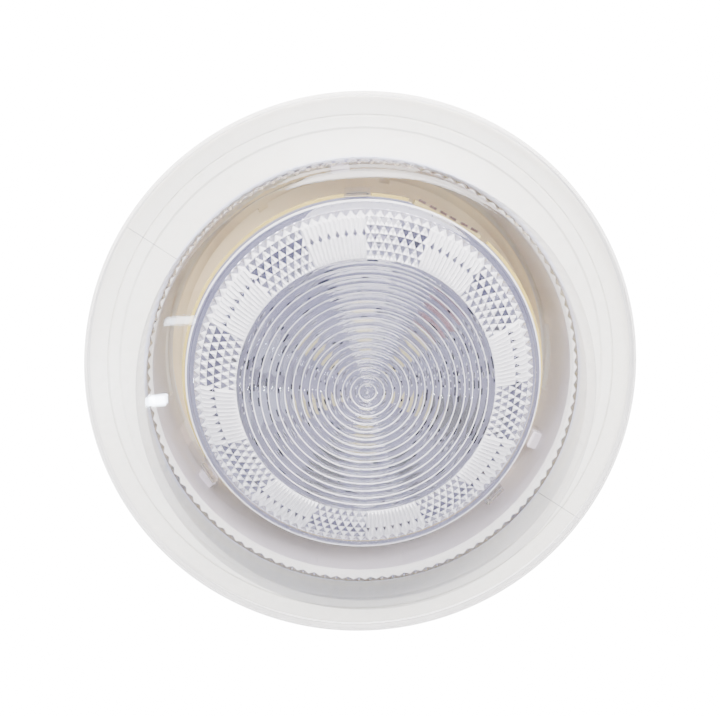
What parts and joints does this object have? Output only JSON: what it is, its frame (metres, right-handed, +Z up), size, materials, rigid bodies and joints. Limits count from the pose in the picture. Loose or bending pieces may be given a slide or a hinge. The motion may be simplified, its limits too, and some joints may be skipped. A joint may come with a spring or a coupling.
{
  "type": "horn strobe",
  "caption": "Round surface-mounted horn strobe: ivory pan, clear domed twist-lock cover with a wide rim, prismatic flash lens over a circuit board and a piezo sounder.",
  "frame": {"origin": "centre of the pan's flat rear face, where it rests on the wall", "axes": "+Y into the wall, -Y out of the front of the dome, +Z up, +X to the right as seen from the room"},
  "size_m": [0.118, 0.0486, 0.118],
  "materials": {
    "ivory_shell": "satin moulded ivory plastic",
    "clear_plastic": "polished clear moulded plastic",
    "seal_silicone": "matte translucent silicone",
    "black_rubber": "matte",
    "screw_steel": "bright zinc",
    "disc_brass": "rolled sheet",
    "piezo_white": "silvered ceramic",
    "gasket_foam": "closed cell foam",
    "board_mask": "white solder mask over yellow laminate",
    "led_package": "phosphor in a white package",
    "can_sleeve": "dark sleeved can",
    "chip_resin": "moulded resin",
    "film_red": "dipped resin",
    "switch_body": "moulded",
    "switch_lever": "moulded",
    "terminal_body": "moulded",
    "lead_red": "wire insulation",
    "lead_black": "wire insulation"
  },
  "bodies": {
    "base": {"base_pan": "ivory_shell", "cable_grommet": "black_rubber", "cover_seal": "seal_silicone", "carrier_drum": "ivory_shell", "carrier_screw_1": "screw_steel", "carrier_screw_2": "screw_steel", "carrier_screw_3": "screw_steel", "horn_chamber": "ivory_shell", "chamber_gasket": "gasket_foam", "piezo_disc": "disc_brass", "piezo_ceramic": "piezo_white", "piezo_lead_red": "lead_red", "piezo_lead_black": "lead_black", "circuit_board": "board_mask", "capacitor_1": "can_sleeve", "capacitor_2": "can_sleeve", "inductor": "chip_resin", "film_capacitor": "film_red", "controller_chip": "chip_resin", "driver_chip": "chip_resin", "dip_switch_body": "switch_body", "terminal_block": "terminal_body", "lens": "clear_plastic", "led_1": "led_package", "led_2": "led_package", "led_3": "led_package", "led_4": "led_package", "led_5": "led_package", "led_6": "led_package"},
    "cover": {"clear_cover": "clear_plastic"},
    "tone_lever_1": {"dip_lever_1": "switch_lever"},
    "tone_lever_2": {"dip_lever_2": "switch_lever"},
    "tone_lever_3": {"dip_lever_3": "switch_lever"},
    "tone_lever_4": {"dip_lever_4": "switch_lever"},
    "tone_lever_5": {"dip_lever_5": "switch_lever"},
    "tone_lever_6": {"dip_lever_6": "switch_lever"},
    "wire_screw_1": {"terminal_screw_1": "screw_steel"},
    "wire_screw_2": {"terminal_screw_2": "screw_steel"},
    "wire_screw_3": {"terminal_screw_3": "screw_steel"},
    "wire_screw_4": {"terminal_screw_4": "screw_steel"}
  },
  "joints": [
    {"name": "cover_twist", "type": "hinge", "parent": "base", "child": "cover", "pos_m": [0, 0, 0], "axis": [0, -1, 0], "range_deg": [0, 14]},
    {"name": "tone_lever_1_throw", "type": "slide", "parent": "base", "child": "tone_lever_1", "axis": [0, 1, 0], "range_m": [0, 0.0014]},
    {"name": "tone_lever_2_throw", "type": "slide", "parent": "base", "child": "tone_lever_2", "axis": [0, 1, 0], "range_m": [0, 0.0014]},
    {"name": "tone_lever_3_throw", "type": "slide", "parent": "base", "child": "tone_lever_3", "axis": [0, 1, 0], "range_m": [0, 0.0014]},
    {"name": "tone_lever_4_throw", "type": "slide", "parent": "base", "child": "tone_lever_4", "axis": [0, -1, 0], "range_m": [0, 0.0014]},
    {"name": "tone_lever_5_throw", "type": "slide", "parent": "base", "child": "tone_lever_5", "axis": [0, 1, 0], "range_m": [0, 0.0014]},
    {"name": "tone_lever_6_throw", "type": "slide", "parent": "base", "child": "tone_lever_6", "axis": [0, 1, 0], "range_m": [0, 0.0014]},
    {"name": "wire_screw_1_turn", "type": "hinge", "parent": "base", "child": "wire_screw_1", "pos_m": [0.02627, -0.0165, -0.01225], "axis": [0, 1, 0], "continuous": true},
    {"name": "wire_screw_2_turn", "type": "hinge", "parent": "base", "child": "wire_screw_2", "pos_m": [0.02306, -0.0165, -0.01608], "axis": [0, 1, 0], "continuous": true},
    {"name": "wire_screw_3_turn", "type": "hinge", "parent": "base", "child": "wire_screw_3", "pos_m": [0.01984, -0.0165, -0.01991], "axis": [0, 1, 0], "continuous": true},
    {"name": "wire_screw_4_turn", "type": "hinge", "parent": "base", "child": "wire_screw_4", "pos_m": [0.01663, -0.0165, -0.02374], "axis": [0, 1, 0], "continuous": true}
  ]
}
